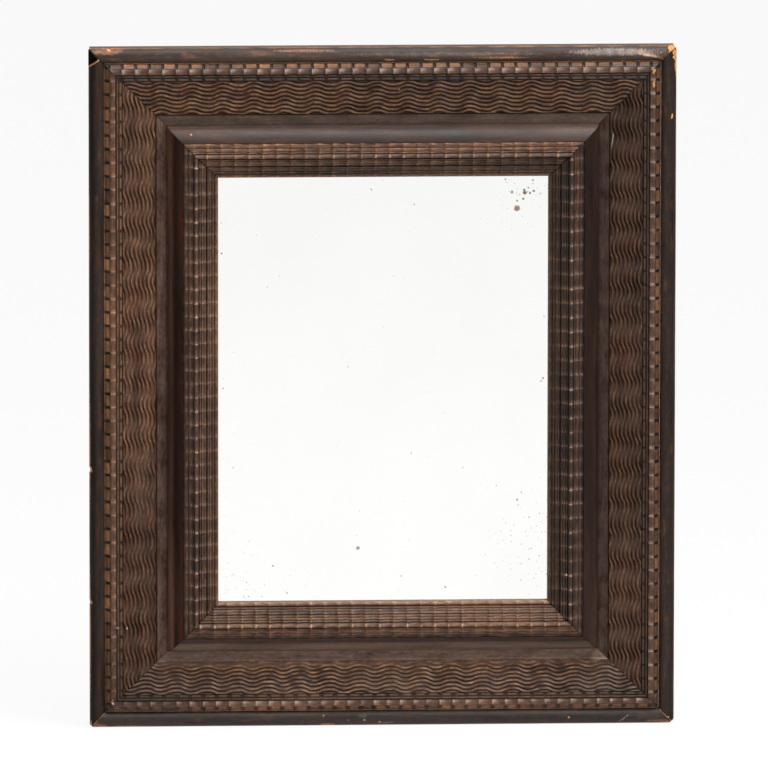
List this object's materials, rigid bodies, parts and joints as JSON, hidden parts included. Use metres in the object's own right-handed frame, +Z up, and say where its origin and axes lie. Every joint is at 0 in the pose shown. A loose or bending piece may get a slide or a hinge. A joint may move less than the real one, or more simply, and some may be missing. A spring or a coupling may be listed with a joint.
{
  "type": "framed wall mirror",
  "caption": "Upright wall mirror in a wide dark wood frame with ripple and wave mouldings, on a lapped carcase with back boards, turn buttons and ring hangers.",
  "frame": {"origin": "the middle of the frame's width and height, on the wall plane that the back of the carcase bears on", "axes": "+Z up, +X to the viewer's right, the mirror faces -Y, the wall is on the +Y side"},
  "size_m": [0.6, 0.0589, 0.702],
  "materials": {
    "stained_wood": "dark stained and waxed, worn brown on the crests",
    "carcase_wood": "raw aged pine",
    "peg_wood": "raw oak",
    "slip_wood": "raw pine",
    "backboard_wood": "rough aged pine",
    "mirror_plate": "old silvered glass with foxing",
    "button_brass": "aged brass",
    "hanger_brass": "aged brass",
    "screw_steel": "dull steel"
  },
  "bodies": {
    "frame": {"carcase_top_rail": "carcase_wood", "carcase_bottom_rail": "carcase_wood", "carcase_left_stile": "carcase_wood", "carcase_right_stile": "carcase_wood", "corner_pegs": "peg_wood", "outer_torus_top": "stained_wood", "outer_torus_bottom": "stained_wood", "outer_torus_left": "stained_wood", "outer_torus_right": "stained_wood", "ripple_bead_top": "stained_wood", "ripple_bead_bottom": "stained_wood", "ripple_bead_left": "stained_wood", "ripple_bead_right": "stained_wood", "wave_band_top": "stained_wood", "wave_band_bottom": "stained_wood", "wave_band_left": "stained_wood", "wave_band_right": "stained_wood", "ovolo_top": "stained_wood", "ovolo_bottom": "stained_wood", "ovolo_left": "stained_wood", "ovolo_right": "stained_wood", "sight_moulding_top": "stained_wood", "sight_moulding_bottom": "stained_wood", "sight_moulding_left": "stained_wood", "sight_moulding_right": "stained_wood", "mirror_plate": "mirror_plate", "glass_slip_top": "slip_wood", "glass_slip_bottom": "slip_wood", "glass_slip_left": "slip_wood", "glass_slip_right": "slip_wood", "backboard_top": "backboard_wood", "backboard_middle": "backboard_wood", "backboard_bottom": "backboard_wood", "button_screws": "screw_steel", "hanger_strap_left": "hanger_brass", "hanger_strap_right": "hanger_brass", "hanger_screws": "screw_steel"},
    "turn_button_top": {"turn_button_top": "button_brass"},
    "turn_button_bottom": {"turn_button_bottom": "button_brass"},
    "turn_button_left_upper": {"turn_button_left_upper": "button_brass"},
    "turn_button_left_middle": {"turn_button_left_middle": "button_brass"},
    "turn_button_left_lower": {"turn_button_left_lower": "button_brass"},
    "turn_button_right_upper": {"turn_button_right_upper": "button_brass"},
    "turn_button_right_middle": {"turn_button_right_middle": "button_brass"},
    "turn_button_right_lower": {"turn_button_right_lower": "button_brass"},
    "hanger_ring_left": {"hanger_ring_left": "hanger_brass"},
    "hanger_ring_right": {"hanger_ring_right": "hanger_brass"}
  },
  "joints": [
    {"name": "turn_button_top_turn", "type": "hinge", "parent": "frame", "child": "turn_button_top", "pos_m": [0, -0.0046, 0.2622], "axis": [0, 1, 0], "continuous": true},
    {"name": "turn_button_bottom_turn", "type": "hinge", "parent": "frame", "child": "turn_button_bottom", "pos_m": [0, -0.0046, -0.2622], "axis": [0, 1, 0], "continuous": true},
    {"name": "turn_button_left_upper_turn", "type": "hinge", "parent": "frame", "child": "turn_button_left_upper", "pos_m": [-0.2112, -0.0046, 0.1658], "axis": [0, 1, 0], "continuous": true},
    {"name": "turn_button_left_middle_turn", "type": "hinge", "parent": "frame", "child": "turn_button_left_middle", "pos_m": [-0.2112, -0.0046, 0], "axis": [0, 1, 0], "continuous": true},
    {"name": "turn_button_left_lower_turn", "type": "hinge", "parent": "frame", "child": "turn_button_left_lower", "pos_m": [-0.2112, -0.0046, -0.1658], "axis": [0, 1, 0], "continuous": true},
    {"name": "turn_button_right_upper_turn", "type": "hinge", "parent": "frame", "child": "turn_button_right_upper", "pos_m": [0.2112, -0.0046, 0.1658], "axis": [0, 1, 0], "continuous": true},
    {"name": "turn_button_right_middle_turn", "type": "hinge", "parent": "frame", "child": "turn_button_right_middle", "pos_m": [0.2112, -0.0046, 0], "axis": [0, 1, 0], "continuous": true},
    {"name": "turn_button_right_lower_turn", "type": "hinge", "parent": "frame", "child": "turn_button_right_lower", "pos_m": [0.2112, -0.0046, -0.1658], "axis": [0, 1, 0], "continuous": true},
    {"name": "hanger_ring_left_swing", "type": "hinge", "parent": "frame", "child": "hanger_ring_left", "pos_m": [-0.2052, -0.00362, 0.1194], "axis": [0, 0, 1], "range_deg": [0, 165]},
    {"name": "hanger_ring_right_swing", "type": "hinge", "parent": "frame", "child": "hanger_ring_right", "pos_m": [0.2052, -0.00362, 0.1194], "axis": [0, 0, -1], "range_deg": [0, 165]}
  ]
}
